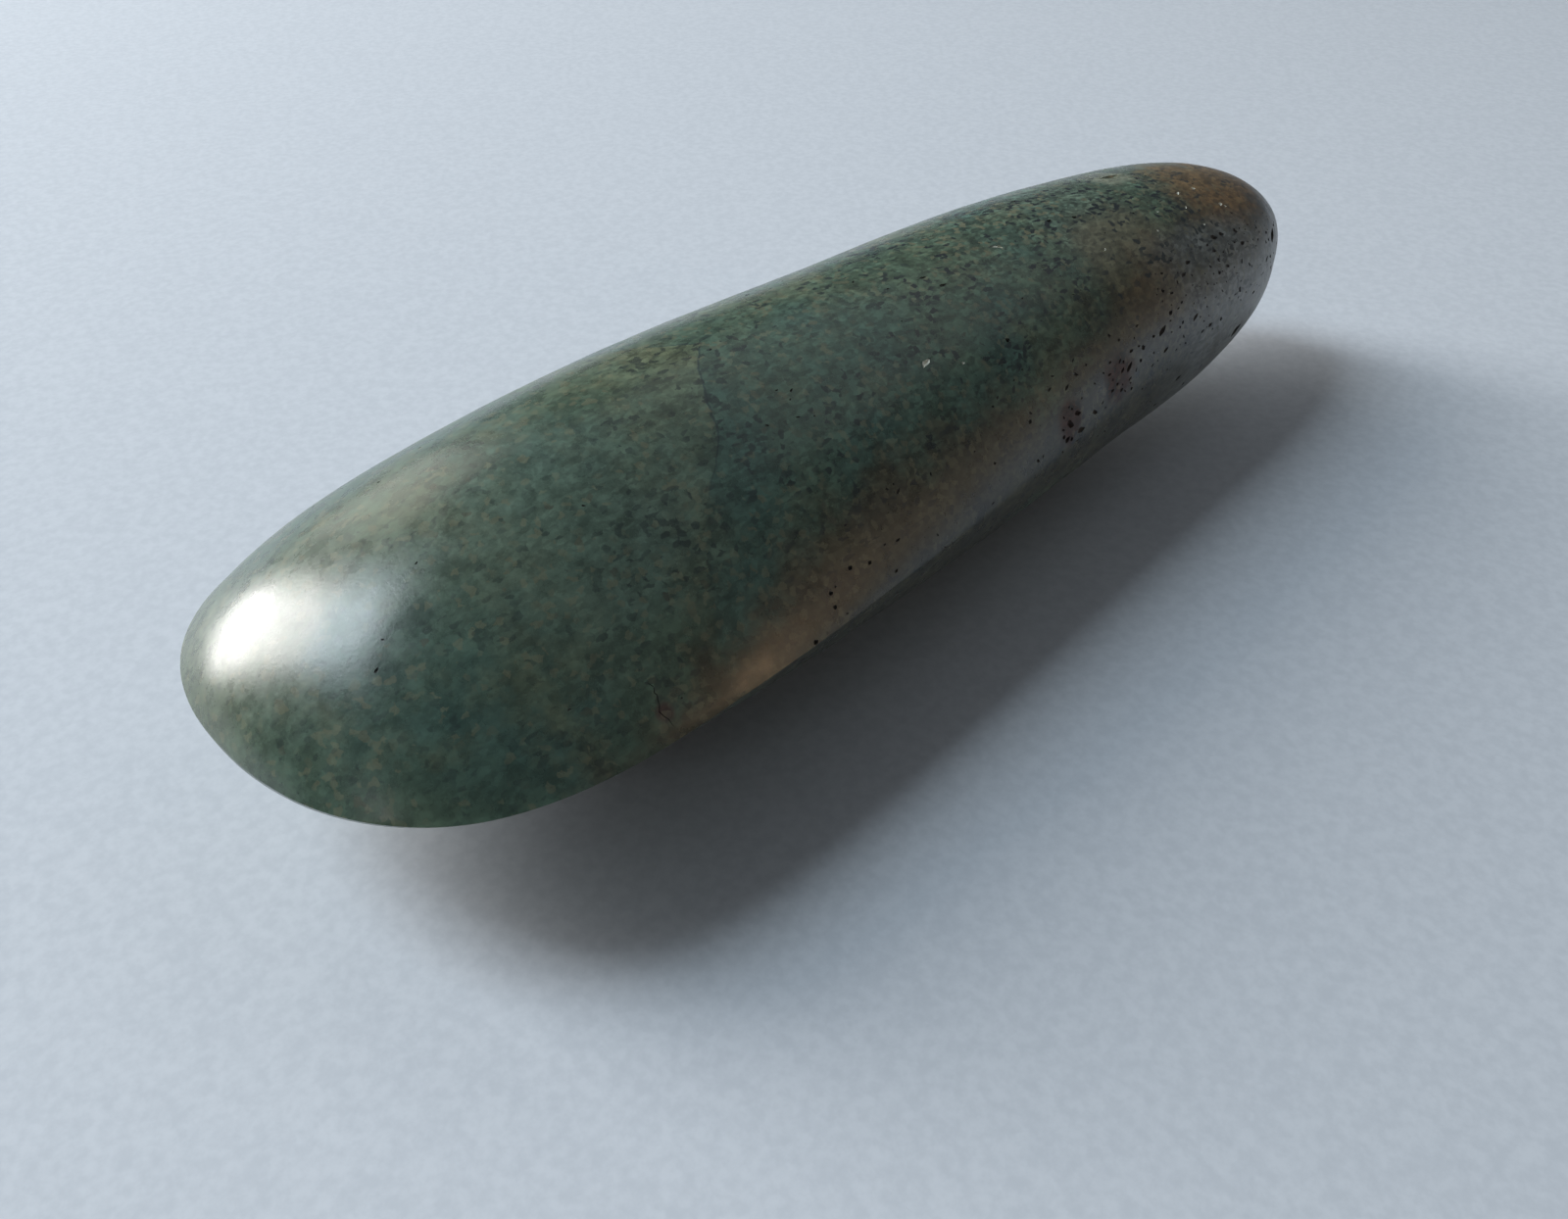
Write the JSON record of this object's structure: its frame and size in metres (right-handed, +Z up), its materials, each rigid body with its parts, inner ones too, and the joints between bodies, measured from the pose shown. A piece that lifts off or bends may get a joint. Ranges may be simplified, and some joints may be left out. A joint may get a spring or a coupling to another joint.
{
  "type": "polished stone axe head",
  "caption": "Loose ground and polished stone axe head with a convex cutting edge, lens-shaped sections and a narrow rounded poll, lying on its belly.",
  "frame": {"origin": "bottom centre of the head, on the small flat rest spot of the belly", "axes": "+X along the head from the cutting edge to the poll, +Z up through the head's thickness, -Y towards the brown-stained flank"},
  "size_m": [0.15, 0.0494, 0.0346],
  "materials": {
    "polished_greenstone": "dark grey-green stone with olive mottling, dark flecks and pits, brown staining on one flank and at the poll, ground smooth and polished"
  },
  "bodies": {
    "root": {"axe_head": "polished_greenstone"}
  },
  "joints": []
}
